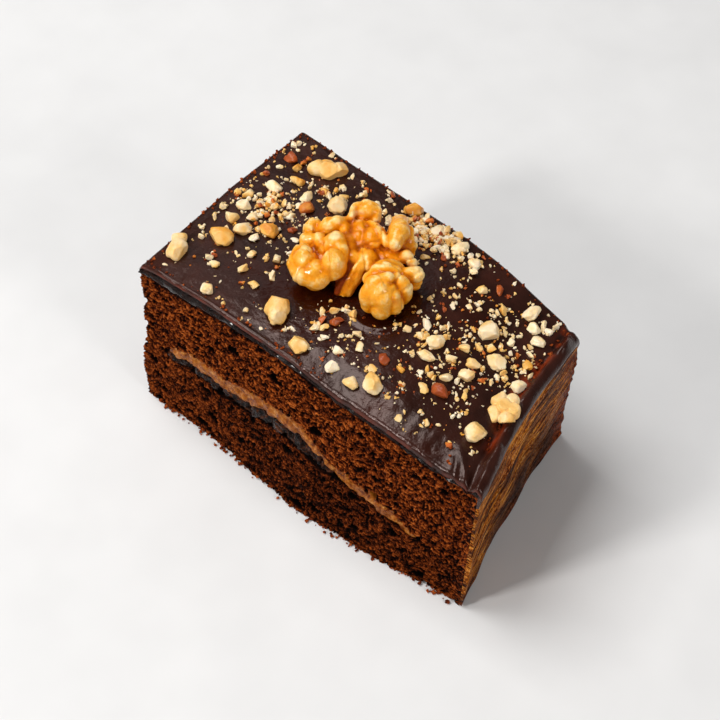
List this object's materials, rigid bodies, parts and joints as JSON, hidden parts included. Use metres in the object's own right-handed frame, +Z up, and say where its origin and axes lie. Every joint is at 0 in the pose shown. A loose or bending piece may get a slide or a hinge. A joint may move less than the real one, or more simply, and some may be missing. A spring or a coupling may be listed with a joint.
{
  "type": "chocolate brownie",
  "caption": "Hand-cut block of filled chocolate sponge under poured dark glaze, strewn with chopped nuts and topped with a honey-glazed walnut half.",
  "frame": {"origin": "on the ground, under the middle of the whole", "axes": "+Z up; +X along the long cut face, towards the glazed outer end; the cut face with the filling line looks along -Y"},
  "size_m": [0.0946, 0.0615, 0.0565],
  "materials": {
    "sponge": "matte baked chocolate crumb, open pores",
    "filling_dark": "glossy dark chocolate cream",
    "filling_caramel": "satin caramel cream",
    "glaze": "satin poured dark chocolate",
    "walnut": "glossy honey glaze",
    "nut": "satin chopped nut"
  },
  "bodies": {
    "root": {"sponge_lower": "sponge", "filling_dark": "filling_dark", "filling_caramel": "filling_caramel", "sponge_upper": "sponge", "glaze": "glaze", "walnut": "walnut", "nut_piece_back": "nut", "nut_piece_left": "nut", "nut_piece_front": "nut", "nut_piece_right": "nut"}
  },
  "joints": []
}
